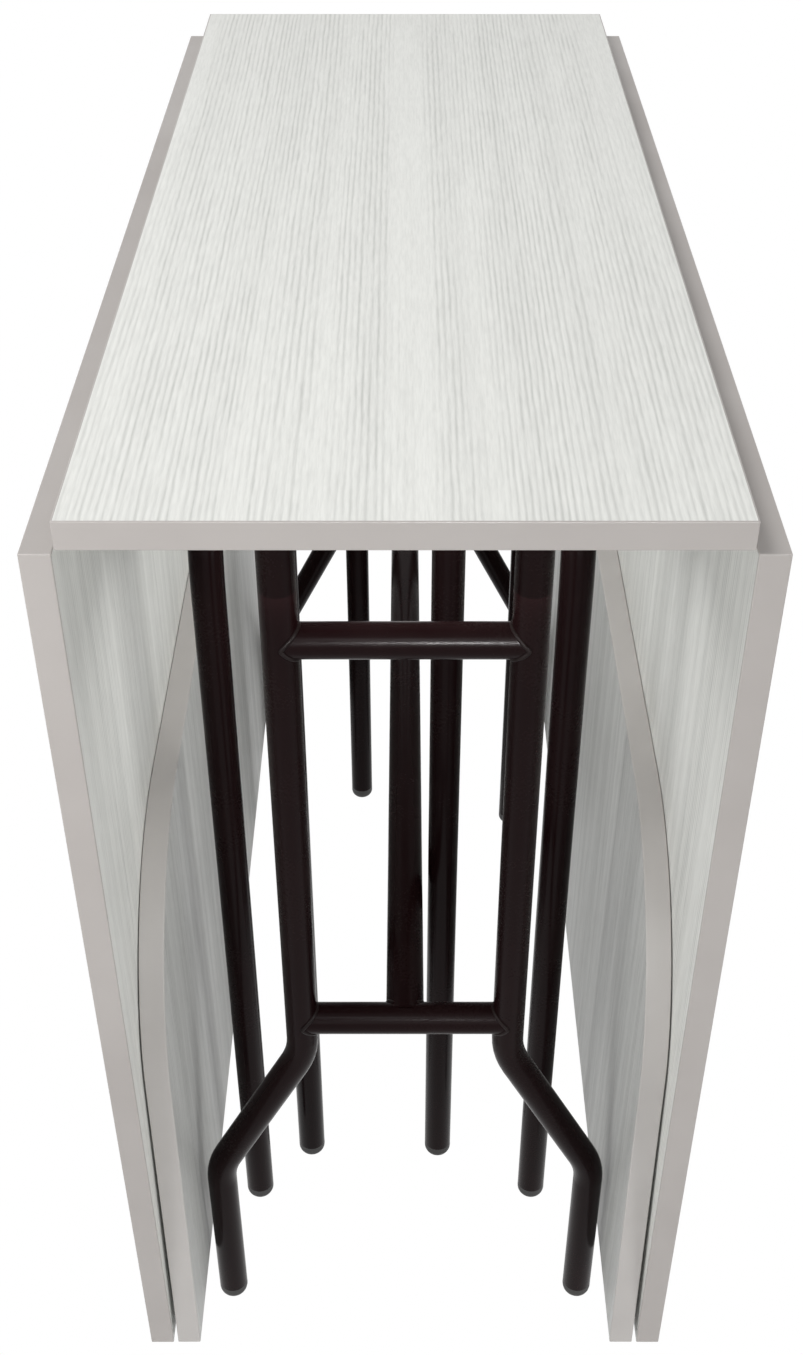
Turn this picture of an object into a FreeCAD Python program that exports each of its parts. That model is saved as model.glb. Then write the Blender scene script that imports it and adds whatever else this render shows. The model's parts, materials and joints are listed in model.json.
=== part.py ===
import FreeCAD, Part
import math
import os
import re
import Sketcher
from FreeCAD import Placement, Rotation, Vector

# Folded drop-leaf table on a tube base, in millimetres: X across, Y along, Z up, origin on the floor.

os.makedirs("parts", exist_ok=True)
doc = FreeCAD.newDocument("console_table")

# Driving dimensions
SIZES = {
    # Boards
    "top_width": 330, "top_length": 800, "top_height": 750, "board": 16,
    "leaf_floor_gap": 53.1, "end_length": 395, "end_corner": 150, "end_side_angle": 95,
    "band": 1, "edge_round": 0.7, "board_gap": 0.4, "lean_gap": 0.3,
    # Butt hinges
    "knuckle_radius": 1.6, "pin_radius": 1.0, "pin_gap": 0.1, "hinge_length": 70,
    "hinge_width": 27, "hinge_plate": 1.2, "notch_gap": 0.7, "knuckle_gap": 0.4,
    "hinge_inset": 90, "screw_inset": 16, "screw_pitch": 25,
    # Countersunk wood screws
    "screw_head_radius": 3, "screw_radius": 1.5, "screw_head": 1.5, "screw_length": 11.5,
    # Tube base
    "tube_radius": 10.5, "tube_wall": 1.5, "frame_inset": 77, "foot_inset": 32.5, "splay_run": 64,
    "knee_height": 142, "splay_angle": 117, "leg_bend": 60, "upper_bar_drop": 109,
    "lower_bar_height": 315, "spine_radius": 12.5, "top_bar_overhang": 33, "top_bar_width": 32,
    "top_bar": 4, "top_bar_screw_step": 32, "top_bar_screw_inset": 11,
    # Foot caps
    "cap_height": 12, "cap_round": 7, "plug_gap": 0.2, "plug_height": 14,
    # Gate legs
    "gate_bend": 115, "outer_gate_gap": 89, "inner_gate_gap": 70, "free_leg_shift": 40,
    "left_gate_inset": 47, "right_gate_inset": 62.5, "gate_spine_gap": 22,
    "outer_angle": 0.6, "left_inner_angle": 4.2, "right_inner_angle": -2.3,
    "strap_width": 26, "strap": 5, "strap_landing": 40, "pad_width": 24, "pad_length": 30,
    "pad_margin": 4, "pad_gap": 0.5,
    # Gate pivots
    "pivot_plate": 3, "pivot_plate_side": 54, "pivot_screw": 20, "stud_radius": 5, "stud_length": 30,
    "stud_gap": 0.4, "washer_radius": 11, "spacer": 2.6, "washer": 1.5, "pivot_play": 0.2,
    "nut_radius": 9, "nut_height": 8,
}

# Places and fits that follow from them
FITS = {
    "underside": "top_height - board",
    "hinge_x": "top_width / 2",
    "hinge_z": "underside - knuckle_radius",
    "hinge_reach": "top_length / 2 - hinge_inset",
    "hinge_notch": "knuckle_radius + notch_gap",
    "bore_radius": "pin_radius + pin_gap",
    "leaf_x": "hinge_x + knuckle_radius",
    "leaf_length": "hinge_z - board_gap - leaf_floor_gap",
    "fold_z": "leaf_floor_gap - board_gap",
    "end_x": "hinge_x - knuckle_radius - board",
    "frame_y": "top_length / 2 - frame_inset",
    "foot_x": "hinge_x - foot_inset",
    "leg_x": "foot_x - splay_run",
    "leg_top": "underside - top_bar",
    "top_bar_length": "2 * (leg_x + top_bar_overhang)",
    "top_bar_screw_x": "leg_x - top_bar_screw_step",
    "upper_bar_height": "underside - upper_bar_drop",
    "top_bar_screw_end": "top_bar_length / 2 - top_bar_screw_inset",
    "plug_radius": "tube_radius - tube_wall - plug_gap",
    "left_gate_x": "hinge_x - left_gate_inset",
    "right_gate_x": "hinge_x - right_gate_inset",
    "inner_gate_x": "spine_radius + tube_radius + gate_spine_gap",
    "outer_gate_y": "frame_y - outer_gate_gap",
    "inner_gate_y": "frame_y - inner_gate_gap",
    "gate_span": "outer_gate_y + inner_gate_y - free_leg_shift",
    "plate_z": "underside - pivot_plate",
    "strap_z": "plate_z - spacer - pivot_play - strap",
    "rail_z": "strap_z - tube_radius",
    "washer_z": "strap_z - pivot_play - washer",
    "nut_z": "washer_z - nut_height",
    "strap_length": "gate_bend + strap_landing",
    "pad_place": "gate_span - gate_bend - pad_margin - pad_length / 2",
    "pivot_bore": "stud_radius + stud_gap",
}

KNUCKLES = 5

sheet = doc.addObject("Spreadsheet::Sheet", "Sizes")
cells = list(SIZES.items()) + [(alias, "=" + formula) for alias, formula in FITS.items()]
for row, (alias, content) in enumerate(cells, start=1):
    sheet.set(f"A{row}", alias)
    sheet.set(f"B{row}", str(content))
    sheet.setAlias(f"B{row}", alias)
doc.recompute()

SIDES = {"right": 0, "left": 180}
ENDS = {"front": -1, "back": 1}
X_AXIS, Y_AXIS, Z_AXIS = Vector(1, 0, 0), Vector(0, 1, 0), Vector(0, 0, 1)


def size(alias):
    return float(sheet.get(alias))


def bind(item, field, text):
    # Every word in the text but the unit of angle is a sheet cell
    item.setExpression(field, re.sub(r"\b(?!deg\b)[a-z_]+", lambda word: "Sizes." + word.group(0), text))


def place(item, x, y, z):
    for axis, text in zip("xyz", (x, y, z)):
        bind(item, f"Placement.Base.{axis}", str(text))


# Plain solids and booleans
def box(label, length, width, height, x, y, z):
    item = doc.addObject("Part::Box", label)
    for field, text in zip(("Length", "Width", "Height"), (length, width, height)):
        bind(item, field, text)
    place(item, x, y, z)
    return item


def cylinder(label, radius, height, x="0", y="0", z="0", turn=None):
    item = doc.addObject("Part::Cylinder", label)
    bind(item, "Radius", radius)
    bind(item, "Height", height)
    if turn:
        item.Placement.Rotation = turn
    place(item, x, y, z)
    return item


ALONG_X = Rotation(Y_AXIS, 90)
ALONG_Y = Rotation(X_AXIS, -90)


def fuse(label, pieces):
    item = doc.addObject("Part::MultiFuse", label)
    item.Shapes = pieces
    item.Refine = True
    return item


def cut(label, base, tool):
    item = doc.addObject("Part::Cut", label)
    item.Base = base
    item.Tool = tool
    return item


def rounded(label, base, radius, wanted):
    doc.recompute()
    item = doc.addObject("Part::Fillet", label)
    item.Base = base
    picked = [number for number, edge in enumerate(base.Shape.Edges, start=1) if wanted(edge)]
    item.Edges = [(number, radius, radius) for number in picked]
    return item


def every_edge(edge):
    return True


def group(label, shapes):
    # Copies of one piece that share a node
    item = doc.addObject("Part::Feature", label)
    item.Shape = Part.makeCompound(shapes)
    return item


def moved(item, placement):
    shape = item.Shape.copy()
    shape.Placement = placement.multiply(shape.Placement)
    return shape


def turned(degrees):
    return Placement(Vector(), Rotation(Z_AXIS, degrees))


# Sketch helpers
def origin_plane(body, role):
    return next(plane for plane in body.Origin.OriginFeatures if plane.Role == role)


def sketch_on(body, label, role):
    sketch = body.newObject("Sketcher::SketchObject", label)
    sketch.AttachmentSupport = (origin_plane(body, role), [""])
    sketch.MapMode = "FlatFace"
    return sketch


def dimension(sketch, kind, *where, text):
    number = sketch.addConstraint(Sketcher.Constraint(kind, *where))
    bind(sketch, f"Constraints[{number}]", text)


def corner_arc(center, radius, start, end):
    circle = Part.Circle(Vector(center[0], center[1], 0), Z_AXIS, radius)
    return Part.ArcOfCircle(circle, math.radians(start), math.radians(end))


def segment(start, end):
    return Part.LineSegment(Vector(start[0], start[1], 0), Vector(end[0], end[1], 0))


def tube_profile(body, x, z):
    # Ring at the foot of a tube, level with the top of its cap
    ring = sketch_on(body, body.Name + "_ring", "XY_Plane")
    bind(ring, "AttachmentOffset.Base.z", z)
    bind(ring, "AttachmentOffset.Base.x", x)
    for radius in ("tube_radius", "tube_radius - tube_wall"):
        number = ring.addGeometry(Part.Circle(Vector(), Z_AXIS, size("tube_radius")))
        ring.addConstraint(Sketcher.Constraint("Coincident", number, 3, -1, 1))
        dimension(ring, "Radius", number, size("tube_radius"), text=radius)
    return ring


def bent_tube(body, path, x):
    ring = tube_profile(body, x, "cap_height")
    pipe = body.newObject("PartDesign::AdditivePipe", body.Name + "_pipe")
    pipe.Profile = ring
    pipe.Spine = (path, [f"Edge{number}" for number in range(1, path.GeometryCount + 1)])
    return pipe


# Wood screw, head flush with the plane that it is driven from, pointing along +Z
screw_head = doc.addObject("Part::Cone", "screw_head")
bind(screw_head, "Radius1", "screw_head_radius")
bind(screw_head, "Radius2", "screw_radius")
bind(screw_head, "Height", "screw_head")
screw_shank = cylinder("screw_shank", "screw_radius", "screw_length")
wood_screw = fuse("wood_screw", [screw_head, screw_shank])


# Butt hinge plate about a pin on Y: the plate lies along +X, with its board on the +Z side
def hinge_plate(label, knuckles):
    pitch = f"(hinge_length / {KNUCKLES})"
    flap_z = "knuckle_radius - hinge_plate"
    flap = box(label + "_flap", "hinge_width - hinge_notch", "hinge_length", "hinge_plate",
               "hinge_notch", "-hinge_length / 2", flap_z)
    pieces = [flap]
    for number in knuckles:
        start = f"-hinge_length / 2 + {number} * {pitch} + knuckle_gap / 2"
        length = f"{pitch} - knuckle_gap"
        pieces.append(cylinder(f"{label}_knuckle_{number}", "knuckle_radius", length, y=start, turn=ALONG_Y))
        pieces.append(box(f"{label}_neck_{number}", "hinge_notch", length, "hinge_plate", "0", start, flap_z))
    bores = [cylinder(label + "_bore", "bore_radius", "hinge_length", y="-hinge_length / 2", turn=ALONG_Y)]
    for step in (-1, 0, 1):
        bores.append(cylinder(f"{label}_hole_{step + 2}", "screw_head_radius", "hinge_plate", "screw_inset",
                              f"{step} * screw_pitch", flap_z))
    return cut(label, fuse(label + "_body", pieces), fuse(label + "_bores", bores))


wide_plate = hinge_plate("wide_plate", (0, 2, 4))
narrow_plate = hinge_plate("narrow_plate", (1, 3))
hinge_pin = cylinder("hinge_pin", "pin_radius", "hinge_length", y="-hinge_length / 2", turn=ALONG_Y)
doc.recompute()

# How a hinge plate stands against each board, on the right side
UNDER_TOP = Rotation(Z_AXIS, 180)
DOWN_LEAF = Rotation(Y_AXIS, 90)
UP_LEAF = Rotation(Y_AXIS, 90).multiply(Rotation(Z_AXIS, 180))
UP_END_LEAF = Rotation(Y_AXIS, -90)

hinge_x, hinge_z, fold_z = size("hinge_x"), size("hinge_z"), size("fold_z")
stations = [step * size("hinge_reach") for step in (-1, 0, 1)]


# A folded end leaf leans on its leaf, with a small gap left at its free edge
lean_sine = (2 * size("knuckle_radius") - size("lean_gap")) / size("end_length")
lean_turn = Rotation(Y_AXIS, math.degrees(math.asin(lean_sine)))
END_LEAN = Placement(Vector(), lean_turn, Vector(hinge_x, 0, fold_z))


def hinge_row(side, x, z, rotation, lean=Placement()):
    stance = turned(SIDES[side]).multiply(lean)
    return [stance.multiply(Placement(Vector(x, y, z), rotation)) for y in stations]


def plate_screws(places):
    flap_z = size("knuckle_radius") - size("hinge_plate")
    shapes = []
    for spot in places:
        for step in (-1, 0, 1):
            shift = Vector(size("screw_inset"), step * size("screw_pitch"), flap_z)
            shapes.append(moved(wood_screw, spot.multiply(Placement(shift, Rotation()))))
    return shapes


nodes = []
top_screws = []
for side in SIDES:
    under_top = hinge_row(side, hinge_x, hinge_z, UNDER_TOP)
    down_leaf = hinge_row(side, hinge_x, hinge_z, DOWN_LEAF)
    up_leaf = hinge_row(side, hinge_x, fold_z, UP_LEAF)
    up_end_leaf = hinge_row(side, hinge_x, fold_z, UP_END_LEAF, END_LEAN)
    rows = {
        "leaf_hinge_fixed_plates": (wide_plate, under_top),
        "leaf_hinge_moving_plates": (narrow_plate, down_leaf),
        "leaf_hinge_pins": (hinge_pin, under_top),
        "end_hinge_leaf_plates": (wide_plate, up_leaf),
        "end_hinge_end_plates": (narrow_plate, up_end_leaf),
        "end_hinge_pins": (hinge_pin, up_leaf),
    }
    for name, (piece, places) in rows.items():
        nodes.append(group(f"{side}_{name}", [moved(piece, spot) for spot in places]))
    top_screws += plate_screws(under_top)
    nodes.append(group(f"{side}_leaf_screws", plate_screws(down_leaf + up_leaf)))
    nodes.append(group(f"{side}_end_leaf_screws", plate_screws(up_end_leaf)))


# Gate places: pivot, and the way that the gate runs from it
def gate_place(side, reach):
    sign = 1 if side == "right" else -1
    if reach == "outer":
        spot = Vector(sign * size(f"{side}_gate_x"), -size("outer_gate_y"), 0)
        return Placement(spot, Rotation(Z_AXIS, -size("outer_angle")))
    turn = 180 + sign * size(f"{side}_inner_angle")
    spot = Vector(sign * size("inner_gate_x"), size("inner_gate_y"), 0)
    return Placement(spot, Rotation(Z_AXIS, turn))


GATES = {(side, reach): gate_place(side, reach) for side in SIDES for reach in ("outer", "inner")}


def pivot_at(spot):
    return Placement(spot.Base, Rotation())


# Screws of the pivot plates and of the bars over the end frames
for spot in GATES.values():
    for x in (-1, 1):
        for y in (-1, 1):
            shift = Vector(x * size("pivot_screw"), y * size("pivot_screw"), size("plate_z"))
            top_screws.append(moved(wood_screw, pivot_at(spot).multiply(Placement(shift, Rotation()))))
for sign in ENDS.values():
    for x in (-size("top_bar_screw_end"), -size("top_bar_screw_x"), size("top_bar_screw_x"),
              size("top_bar_screw_end")):
        shift = Vector(x, sign * size("frame_y"), size("leg_top"))
        top_screws.append(moved(wood_screw, Placement(shift, Rotation())))
top_screw_group = group("top_screws", top_screws)
nodes.append(top_screw_group)


# Laminated boards: a core and the band glued round its edge
def banded_board(label, whole, core, screws, placement):
    soft = rounded(label + "_whole", whole, size("edge_round"), every_edge)
    edge_band = cut(label + "_edge_band", soft, core)
    board = cut(label, core, screws) if screws else core
    for item in (edge_band, board):
        if placement:
            item.Placement = placement
        nodes.append(item)


top_whole = box("top_whole", "top_width", "top_length", "board", "-top_width / 2", "-top_length / 2",
                "underside")
top_core = box("top_core", "top_width - 2 * band", "top_length - 2 * band", "board",
               "-top_width / 2 + band", "-top_length / 2 + band", "underside")
banded_board("tabletop", top_whole, top_core, top_screw_group, None)


# End leaf outline: straight at the hinge, sides drawn in, free corners rounded
def end_outline(label):
    half = size("top_length") / 2
    long = size("end_length")
    radius = size("end_corner")
    lean = math.radians(size("end_side_angle") - 90)
    center_y = long - radius
    center_x = half - center_y * math.tan(lean) - radius / math.cos(lean)
    touch = (center_x + radius * math.cos(lean), center_y + radius * math.sin(lean))
    degrees = math.degrees(lean)
    sketch = doc.addObject("Sketcher::SketchObject", label)
    sketch.Placement = Placement(Vector(), Rotation(Vector(1, 1, 1), 120))
    hinge = sketch.addGeometry(segment((-half, 0), (half, 0)))
    side_a = sketch.addGeometry(segment((half, 0), touch))
    arc_a = sketch.addGeometry(corner_arc((center_x, center_y), radius, degrees, 90))
    free = sketch.addGeometry(segment((center_x, long), (-center_x, long)))
    arc_b = sketch.addGeometry(corner_arc((-center_x, center_y), radius, 90, 180 - degrees))
    side_b = sketch.addGeometry(segment((-touch[0], touch[1]), (-half, 0)))
    ties = [("Coincident", hinge, 2, side_a, 1), ("Coincident", side_b, 2, hinge, 1),
            ("Tangent", side_a, 2, arc_a, 1), ("Tangent", arc_a, 2, free, 1),
            ("Tangent", free, 2, arc_b, 1), ("Tangent", arc_b, 2, side_b, 1),
            ("Horizontal", hinge), ("Equal", arc_a, arc_b),
            ("Symmetric", hinge, 1, hinge, 2, -1, 1), ("Symmetric", free, 1, free, 2, -2)]
    for tie in ties:
        sketch.addConstraint(Sketcher.Constraint(*tie))
    dimension(sketch, "DistanceX", hinge, 1, hinge, 2, 2 * half, text="top_length")
    dimension(sketch, "DistanceY", -1, 1, free, 1, long, text="end_length")
    dimension(sketch, "Radius", arc_a, radius, text="end_corner")
    dimension(sketch, "Angle", side_a, math.radians(size("end_side_angle")), text="end_side_angle * 1 deg")
    return sketch


def extrusion(label, profile):
    item = doc.addObject("Part::Extrusion", label)
    item.Base = profile
    item.DirMode = "Custom"
    item.Dir = X_AXIS
    item.Solid = True
    bind(item, "LengthFwd", "board")
    place(item, "end_x", 0, "leaf_floor_gap")
    return item


for side, turn in SIDES.items():
    leaf_whole = box(f"{side}_leaf_block", "board", "top_length", "leaf_length", "leaf_x", "-top_length / 2",
                     "leaf_floor_gap")
    leaf_core = box(f"{side}_leaf_core", "board", "top_length - 2 * band", "leaf_length - 2 * band", "leaf_x",
                    "-top_length / 2 + band", "leaf_floor_gap + band")
    outline = end_outline(f"{side}_end_outline")
    inner_outline = doc.addObject("Part::Offset2D", f"{side}_end_inner_outline")
    inner_outline.Source = outline
    bind(inner_outline, "Value", "-band")
    end_whole = extrusion(f"{side}_end_block", outline)
    end_core = extrusion(f"{side}_end_core", inner_outline)
    doc.recompute()
    upright_stance = turned(turn)
    lean_stance = turned(turn).multiply(END_LEAN)
    for name, whole, core, stance in (("leaf", leaf_whole, leaf_core, upright_stance),
                                      ("end_leaf", end_whole, end_core, lean_stance)):
        screws = doc.getObject(f"{side}_{name}_screws")
        holes = group(f"{side}_{name}_holes", [moved(screws, stance.inverse())])
        banded_board(f"{side}_{name}", whole, core, holes, stance)


# Foot cap with a plug that sits in the tube
cap_block = cylinder("cap_block", "tube_radius", "cap_height")
cap_dome = rounded("cap_dome", cap_block, size("cap_round"), lambda edge: edge.BoundBox.ZMax < 1e-6)
cap_plug = cylinder("cap_plug", "plug_radius", "plug_height", z="cap_height")
foot_cap = fuse("foot_cap", [cap_dome, cap_plug])
doc.recompute()


# End frames
def leg_tube(label, placement):
    body = doc.addObject("PartDesign::Body", label)
    path = sketch_on(body, label + "_path", "XZ_Plane")
    foot, leg, radius = size("foot_x"), size("leg_x"), size("leg_bend")
    low, start, top = size("knee_height"), size("cap_height"), size("leg_top")
    turn = math.radians(size("splay_angle") - 90)
    ease, rise = radius * (1 - math.cos(turn)), radius * math.sin(turn)
    run = (foot - leg - 2 * ease) / math.sin(turn)
    bend = math.degrees(turn)
    knee_a = (foot - ease, low + rise)
    knee_b = (leg + ease, knee_a[1] + run * math.cos(turn))
    lines = [segment((foot, start), (foot, low)), corner_arc((foot - radius, low), radius, 0, bend),
             segment(knee_a, knee_b), corner_arc((leg + radius, knee_b[1] + rise), radius, 180, 180 + bend),
             segment((leg, knee_b[1] + rise), (leg, top))]
    shank, arc_a, slope, arc_b, post = (path.addGeometry(line) for line in lines)
    ties = [("Vertical", shank), ("Vertical", post), ("Tangent", shank, 2, arc_a, 1),
            ("Tangent", arc_a, 2, slope, 1), ("Tangent", slope, 2, arc_b, 2), ("Tangent", arc_b, 1, post, 1),
            ("Equal", arc_a, arc_b)]
    for tie in ties:
        path.addConstraint(Sketcher.Constraint(*tie))
    dimension(path, "DistanceX", -1, 1, shank, 1, foot, text="foot_x")
    dimension(path, "DistanceY", -1, 1, shank, 1, start, text="cap_height")
    dimension(path, "DistanceY", -1, 1, shank, 2, low, text="knee_height")
    dimension(path, "DistanceX", -1, 1, post, 2, leg, text="leg_x")
    dimension(path, "DistanceY", -1, 1, post, 2, top, text="leg_top")
    dimension(path, "Radius", arc_a, radius, text="leg_bend")
    dimension(path, "Angle", slope, math.radians(size("splay_angle")), text="splay_angle * 1 deg")
    bent_tube(body, path, "foot_x")
    body.Placement = placement
    nodes.append(body)


def cross_bar(label, radius, half, turn, start, ends):
    # Hollow bar, coped to the tubes that it meets
    outer = cylinder(label + "_outer", radius, f"2 * {half}", *start, turn=turn)
    inner = cylinder(label + "_bore", f"{radius} - tube_wall", f"2 * {half}", *start, turn=turn)
    nodes.append(cut(label, outer, fuse(label + "_copes", [inner] + ends)))
    return outer


def upright(label, x, y):
    return cylinder(label, "tube_radius", "top_height", x, y)


lower_bars = []
for end, sign in ENDS.items():
    frame_y = f"{sign} * frame_y"
    for side, turn in SIDES.items():
        spot = Placement(Vector(0, sign * size("frame_y"), 0), Rotation(Z_AXIS, turn))
        leg_tube(f"{end}_{side}_leg_tube", spot)
    for level in ("upper", "lower"):
        posts = [upright(f"{end}_{level}_cope_right", "leg_x", frame_y),
                 upright(f"{end}_{level}_cope_left", "-leg_x", frame_y)]
        bar = cross_bar(f"{end}_{level}_cross_bar", "tube_radius", "leg_x", ALONG_X,
                        ("-leg_x", frame_y, f"{level}_bar_height"), posts)
        if level == "lower":
            lower_bars.append(bar)
    flat = box(f"{end}_top_bar_block", "top_bar_length", "top_bar_width", "top_bar", "-top_bar_length / 2",
               f"{frame_y} - top_bar_width / 2", "leg_top")
    nodes.append(cut(f"{end}_top_bar", flat, top_screw_group))
cross_bar("spine_tube", "spine_radius", "frame_y", ALONG_Y, ("0", "-frame_y", "lower_bar_height"), lower_bars)
feet = [Vector(x * size("foot_x"), y * size("frame_y"), 0) for x in (-1, 1) for y in (-1, 1)]
nodes.append(group("frame_foot_caps", [moved(foot_cap, Placement(foot, Rotation())) for foot in feet]))


# Gate legs, drawn with the pivot on Z and the free leg along +Y
def gate_tube(label, placement):
    body = doc.addObject("PartDesign::Body", label)
    path = sketch_on(body, label + "_path", "YZ_Plane")
    span, radius, rail, start = (size(name) for name in ("gate_span", "gate_bend", "rail_z", "cap_height"))
    shoulder = rail - radius
    lines = [segment((0, start), (0, shoulder)), corner_arc((radius, shoulder), radius, 90, 180),
             segment((radius, rail), (span - radius, rail)),
             corner_arc((span - radius, shoulder), radius, 0, 90), segment((span, shoulder), (span, start))]
    pivot, arc_a, level, arc_b, free = (path.addGeometry(line) for line in lines)
    ties = [("PointOnObject", pivot, 1, -2), ("Vertical", pivot), ("Vertical", free), ("Horizontal", level),
            ("Tangent", pivot, 2, arc_a, 2), ("Tangent", arc_a, 1, level, 1), ("Tangent", level, 2, arc_b, 2),
            ("Tangent", arc_b, 1, free, 1), ("Equal", arc_a, arc_b)]
    for tie in ties:
        path.addConstraint(Sketcher.Constraint(*tie))
    dimension(path, "DistanceY", -1, 1, pivot, 1, start, text="cap_height")
    dimension(path, "DistanceY", -1, 1, free, 2, start, text="cap_height")
    dimension(path, "DistanceX", -1, 1, free, 2, span, text="gate_span")
    dimension(path, "DistanceY", -1, 1, level, 1, rail, text="rail_z")
    dimension(path, "Radius", arc_a, radius, text="gate_bend")
    bent_tube(body, path, "0")
    body.Placement = placement
    nodes.append(body)


def pivot_strap(label, placement):
    flat = box(label + "_flat", "strap_width", "strap_length", "strap", "-strap_width / 2", "0", "strap_z")
    nose = cylinder(label + "_nose", "strap_width / 2", "strap", z="strap_z")
    bore = cylinder(label + "_bore", "pivot_bore", "strap", z="strap_z")
    strap = cut(label, fuse(label + "_body", [flat, nose]), bore)
    strap.Placement = placement
    nodes.append(strap)


def rest_pad(label, placement):
    block = box(label + "_block", "pad_width", "pad_length", "underside - pad_gap - rail_z",
                "-pad_width / 2", "pad_place - pad_length / 2", "rail_z")
    soft = rounded(label + "_soft", block, size("edge_round"), every_edge)
    saddle = cylinder(label + "_saddle", "tube_radius", "gate_span", z="rail_z", turn=ALONG_Y)
    pad = cut(label, soft, saddle)
    pad.Placement = placement
    nodes.append(pad)


for (side, reach), spot in GATES.items():
    name = f"{side}_{reach}_gate"
    gate_tube(f"{name}_tube", spot)
    pivot_strap(f"{name}_pivot_strap", spot)
    rest_pad(f"{name}_rest_pad", spot)
    caps = [Vector(0, y, 0) for y in (0, size("gate_span"))]
    shapes = [moved(foot_cap, spot.multiply(Placement(cap, Rotation()))) for cap in caps]
    nodes.append(group(f"{name}_foot_caps", shapes))


# Gate pivots: plate under the top, stud, spacer, washer and lock nut
plate_block = box("plate_block", "pivot_plate_side", "pivot_plate_side", "pivot_plate",
                  "-pivot_plate_side / 2", "-pivot_plate_side / 2", "plate_z")
plate_holes = []
for x in (-1, 1):
    for y in (-1, 1):
        plate_holes.append(cylinder(f"plate_hole_{x + 1}{y + 1}", "screw_head_radius", "pivot_plate",
                                    f"{x} * pivot_screw", f"{y} * pivot_screw", "plate_z"))
pivot_plate = cut("pivot_plate", plate_block, fuse("plate_holes", plate_holes))
pivot_stud = cylinder("pivot_stud", "stud_radius", "stud_length", z="plate_z - stud_length")
spacer_ring = cut("spacer_ring", cylinder("spacer_disc", "washer_radius", "spacer", z="plate_z - spacer"),
                  cylinder("spacer_bore", "stud_radius", "spacer", z="plate_z - spacer"))
washer_ring = cut("washer_ring", cylinder("washer_disc", "washer_radius", "washer", z="washer_z"),
                  cylinder("washer_bore", "stud_radius", "washer", z="washer_z"))
nut_block = doc.addObject("Part::Prism", "nut_block")
nut_block.Polygon = 6
bind(nut_block, "Circumradius", "nut_radius")
bind(nut_block, "Height", "nut_height")
place(nut_block, 0, 0, "nut_z")
lock_nut = cut("lock_nut", nut_block,
               cylinder("nut_bore", "stud_radius", "nut_height", z="nut_z"))
doc.recompute()
pivots = [pivot_at(spot) for spot in GATES.values()]
for name, pieces in {"gate_pivot_plates": [pivot_plate], "gate_pivot_studs": [pivot_stud],
                     "gate_pivot_washers": [spacer_ring, washer_ring], "gate_pivot_nuts": [lock_nut]}.items():
    nodes.append(group(name, [moved(piece, spot) for spot in pivots for piece in pieces]))

# Check every object, then write each sub-part
doc.recompute()
for item in doc.Objects:
    if "Invalid" in item.State or "Error" in item.State:
        raise RuntimeError(f"{item.Label} failed: {item.State}")
for node in nodes:
    if node.Shape.isNull() or not node.Shape.isValid() or not node.Shape.Solids:
        raise RuntimeError(f"{node.Label} has no valid shape")
for node in nodes:
    node.Shape.exportStep(f"parts/{node.Label}.step")
print(len(nodes), "sub-parts written")
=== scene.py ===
import bpy
import json
import math
from mathutils import Matrix, Vector

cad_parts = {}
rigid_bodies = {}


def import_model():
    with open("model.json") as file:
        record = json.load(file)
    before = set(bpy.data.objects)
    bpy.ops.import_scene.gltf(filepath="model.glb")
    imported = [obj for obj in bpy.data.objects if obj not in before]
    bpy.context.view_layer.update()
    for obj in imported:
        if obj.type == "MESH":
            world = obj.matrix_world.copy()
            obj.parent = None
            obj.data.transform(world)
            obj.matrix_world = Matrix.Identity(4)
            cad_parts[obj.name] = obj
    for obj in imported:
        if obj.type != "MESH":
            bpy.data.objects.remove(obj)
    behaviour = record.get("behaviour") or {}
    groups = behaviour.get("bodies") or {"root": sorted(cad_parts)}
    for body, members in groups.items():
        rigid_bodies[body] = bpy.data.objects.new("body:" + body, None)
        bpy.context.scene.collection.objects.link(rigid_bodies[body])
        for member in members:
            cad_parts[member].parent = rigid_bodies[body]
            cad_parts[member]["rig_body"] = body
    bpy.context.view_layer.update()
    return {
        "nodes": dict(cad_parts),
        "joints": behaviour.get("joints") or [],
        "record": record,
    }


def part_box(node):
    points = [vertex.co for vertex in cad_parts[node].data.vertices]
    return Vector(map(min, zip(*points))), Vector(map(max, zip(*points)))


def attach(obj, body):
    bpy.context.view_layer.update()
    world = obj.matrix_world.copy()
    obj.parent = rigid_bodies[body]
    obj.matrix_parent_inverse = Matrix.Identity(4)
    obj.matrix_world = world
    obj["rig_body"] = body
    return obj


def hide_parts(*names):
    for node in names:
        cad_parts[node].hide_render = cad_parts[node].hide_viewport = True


# Folded drop-leaf table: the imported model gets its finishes, screws, welds and nuts here
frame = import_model()
nodes = frame["nodes"]
print("frame loaded:", len(nodes), "CAD nodes")


# Small helpers for working as in the viewport
def deselectAll():
    bpy.ops.object.select_all(action="DESELECT")


def pick(piece):
    deselectAll()
    piece.select_set(True)
    bpy.context.view_layer.objects.active = piece


def applyModifier(piece, kind, **values):
    pick(piece)
    modifier = piece.modifiers.new(kind.title(), kind)
    for name, value in values.items():
        setattr(modifier, name, value)
    bpy.ops.object.modifier_apply(modifier=modifier.name)


def selectFaces(piece, wanted):
    # picks faces by their middle and normal, with edit mode open afterwards
    bpy.ops.object.mode_set(mode="EDIT")
    bpy.ops.mesh.select_mode(type="FACE")
    bpy.ops.mesh.select_all(action="DESELECT")
    bpy.ops.object.mode_set(mode="OBJECT")
    for face in piece.data.polygons:
        face.select = wanted(face.center, face.normal)
    bpy.ops.object.mode_set(mode="EDIT")


def facingUp(middle, normal):
    return normal.z > 0.9


def facingDown(middle, normal):
    return normal.z < -0.9


def leaveEdit():
    bpy.ops.object.mode_set(mode="OBJECT")


def settle(piece):
    # the place goes into the mesh, so the object sits at the origin
    pick(piece)
    bpy.ops.object.transform_apply(location=True, rotation=True, scale=True)


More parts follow.
